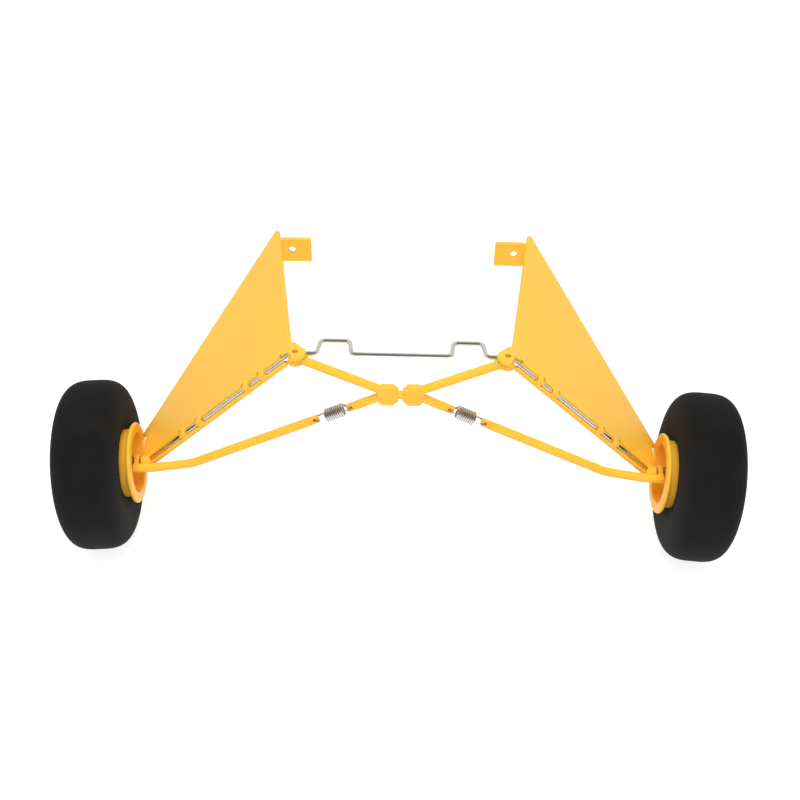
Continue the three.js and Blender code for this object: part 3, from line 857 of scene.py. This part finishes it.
def hub_mesh(facing):
    """One half: facing is -1 towards the fuselage and 1 outboard."""
    f, b = FLANGE_R, BARREL_R
    e = HUB_OUTER_W if facing > 0 else HUB_INNER_W
    rim = [
        *arc((e - 0.9, b - 0.8), 0.9, -90, 0, 5), *arc((e - 0.9, f - 0.9), 0.9, 0, 180, 9),
        (e - 1.8, b + 0.4), (e - 2.1, b + 0.1), (e - 2.4, b),
    ]
    inner = [
        (TUBE_END - 0.3, HUB_BORE_R), (TUBE_END, HUB_BORE_R + 0.3), (TUBE_END, 3.6), (TUBE_END - 0.4, 4.0),
        (WEB[1] + 0.8, 4.0), (WEB[1] + 0.2, 4.2), (WEB[1], 4.8),
        (WEB[1], b - 2.6), (WEB[1] + 0.3, b - 1.9), (WEB[1] + 1, b - 1.7),
    ]
    back = [(SPLIT, b), (SPLIT, b - 1.4), (WEB[0], b - 1.4), (WEB[0], 4), (SPLIT, 4), (SPLIT, HUB_BORE_R)]
    profile = [(x * facing, r) for x, r in inner + rim + back]
    body = turned(profile, wheel_frame, HUB_STEPS)
    posts, holes = [], []
    for i in range(HUB_SCREWS):
        angle = 2 * math.pi * i / HUB_SCREWS + math.pi / 2
        y, z = SCREW_CIRCLE_R * math.cos(angle), SCREW_CIRCLE_R * math.sin(angle)
        post_end, hole_end = (WEB[1], 20) if facing > 0 else (WEB[1] + 0.5, 6.5)
        split, post, back_out, deep = [
            wheel_frame @ Vector((x * facing, y, z)) for x in (SPLIT, post_end, -1, hole_end)
        ]
        posts.append(pin(split, post, SCREW_POST_R, 0.15))
        holes.append(pin(back_out, deep, SCREW_HOLE_R))
    return fused(body, posts, holes)


hub_nylon = moulded("hub_moulding", (0.94, 0.51, 0.046), (0.92, 0.47, 0.038), roughness=0.36)
for half, facing in (("inner", -1), ("outer", 1)):
    hub = hub_mesh(facing)
    for side, sign in SIDES.items():
        piece = placed(f"{side}_hub_{half}_half", hub, hub_nylon, sign)
        even_shading(piece)
        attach(piece, f"{side}_wheel")
        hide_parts(f"{side}_hub_{half}")


# ---- Hub screws ----
# Three small plated pan-head screws with cross slots, on a circle in the outer half of each hub.
# They pass through posts in the web and pull the two halves together.
SCREW_R = 0.8
HEAD_R = 1.9
HEAD_H = 1.3
SLOT_W = 0.45


def ring_tree():
    """Copies of a screw on a circle about the z axis."""
    tree = bpy.data.node_groups.new("ring_of_screws", "GeometryNodeTree")
    tree.interface.new_socket("Screw", in_out="INPUT", socket_type="NodeSocketGeometry")
    for label, kind in (("Count", "Int"), ("Circle Radius", "Float"), ("Finish", "Material")):
        tree.interface.new_socket(label, in_out="INPUT", socket_type="NodeSocket" + kind)
    tree.interface.new_socket("Screws", in_out="OUTPUT", socket_type="NodeSocketGeometry")
    nodes, links = tree.nodes, tree.links
    given = nodes.new("NodeGroupInput")
    circle = nodes.new("GeometryNodeMeshCircle")
    links.new(given.outputs["Count"], circle.inputs["Vertices"])
    links.new(given.outputs["Circle Radius"], circle.inputs["Radius"])
    copies = nodes.new("GeometryNodeInstanceOnPoints")
    links.new(circle.outputs["Mesh"], copies.inputs["Points"])
    links.new(given.outputs["Screw"], copies.inputs["Instance"])
    real = nodes.new("GeometryNodeRealizeInstances")
    links.new(copies.outputs["Instances"], real.inputs["Geometry"])
    coat = nodes.new("GeometryNodeSetMaterial")
    links.new(real.outputs["Geometry"], coat.inputs["Geometry"])
    links.new(given.outputs["Finish"], coat.inputs["Material"])
    out = nodes.new("NodeGroupOutput")
    links.new(coat.outputs["Geometry"], out.inputs["Screws"])
    return tree


def screw_mesh():
    """One screw along z, its head upwards."""
    head = WEB[1] + 0.3
    profile = [
        (-5.8, 0), (-5.8, 0.4), (-5.0, SCREW_R), (head, SCREW_R), (head, HEAD_R - 0.1), (head + 0.2, HEAD_R),
        (head + 0.6, HEAD_R - 0.1), (head + 1.0, HEAD_R - 0.6), (head + 1.2, 1.0), (head + HEAD_H, 0),
    ]
    upright = Matrix.Rotation(-math.pi / 2, 4, "Y")
    body = turned(profile, upright, 32)
    slots = [
        block((-1.1, -SLOT_W / 2, head + 0.6), (1.1, SLOT_W / 2, head + 2)),
        block((-SLOT_W / 2, -1.1, head + 0.6), (SLOT_W / 2, 1.1, head + 2)),
    ]
    return fused(body, removed=slots)


screw_steel = steel("plated_screws", (0.55, 0.55, 0.56), 0.3, (1, 1, 1))
ring_sizes = {"Count": HUB_SCREWS, "Circle Radius": SCREW_CIRCLE_R, "Finish": screw_steel}
screws = grown("screws", screw_mesh(), ring_tree(), ring_sizes)
screws.transform(wheel_frame @ Matrix(((0, 0, 1, 0), (0, -1, 0, 0), (1, 0, 0, 0), (0, 0, 0, 1))))
for side, sign in SIDES.items():
    piece = placed(f"{side}_hub_screws", screws, screw_steel, sign)
    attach(piece, f"{side}_wheel")
    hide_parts(*[f"{side}_hub_screw_{i + 1}" for i in range(HUB_SCREWS)])


# ---- Wheel collars ----
# Turned and plated collars on the axle, one each side of the hub, each held by a black grub screw
# with a hexagon socket.
COLLAR_L = 2.2
COLLAR_R = 2.9
GRUB_R = 0.7
GRUB_HOLE_R = 0.8
GRUB_SOCKET_R = 0.4
COLLAR_STARTS = {"inner": 109.8 - WHEEL_X, "outer": TUBE_END + 0.4}


def collar_mesh(start):
    end = start + COLLAR_L
    ring = [
        (start + 0.2, HUB_BORE_R), (start, HUB_BORE_R + 0.2),
        (start, COLLAR_R - 0.4), (start + 0.1, COLLAR_R - 0.12), (start + 0.4, COLLAR_R),
        (end - 0.4, COLLAR_R), (end - 0.1, COLLAR_R - 0.12), (end, COLLAR_R - 0.4),
        (end, HUB_BORE_R + 0.2), (end - 0.2, HUB_BORE_R),
    ]
    middle = start + COLLAR_L / 2
    tapped = pin(wheel_frame @ Vector((middle, 0, 1)), wheel_frame @ Vector((middle, 0, 4)), GRUB_HOLE_R)
    return fused(turned(ring, wheel_frame, 64), removed=[tapped])


def grub_mesh(start):
    middle = start + COLLAR_L / 2
    foot, top = wheel_frame @ Vector((middle, 0, 1.15)), wheel_frame @ Vector((middle, 0, 2.75))
    socket_ends = [wheel_frame @ Vector((middle, 0, height)) for height in (2.0, 4)]
    socket = pin(*socket_ends, GRUB_SOCKET_R, steps=6)
    return fused(pin(foot, top, GRUB_R, 0.1), removed=[socket])


collar_steel = steel("plated_collar", (0.6, 0.6, 0.6), 0.28, (6, 1, 1))
black_steel = steel("black_grub_screw", (0.06, 0.06, 0.065), 0.4, (1, 1, 1))
for which, start in COLLAR_STARTS.items():
    collar, grub = collar_mesh(start), grub_mesh(start)
    for side, sign in SIDES.items():
        for kind, mesh, finish, slot_name in (
            ("collar", collar, collar_steel, "collar_plating"),
            ("grub_screw", grub, black_steel, "black_steel"),
        ):
            piece = placed(f"{side}_{which}_{kind}_turned", mesh, finish, sign)
            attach(piece, f"{side}_leg")
            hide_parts(f"{side}_{which}_{kind}")
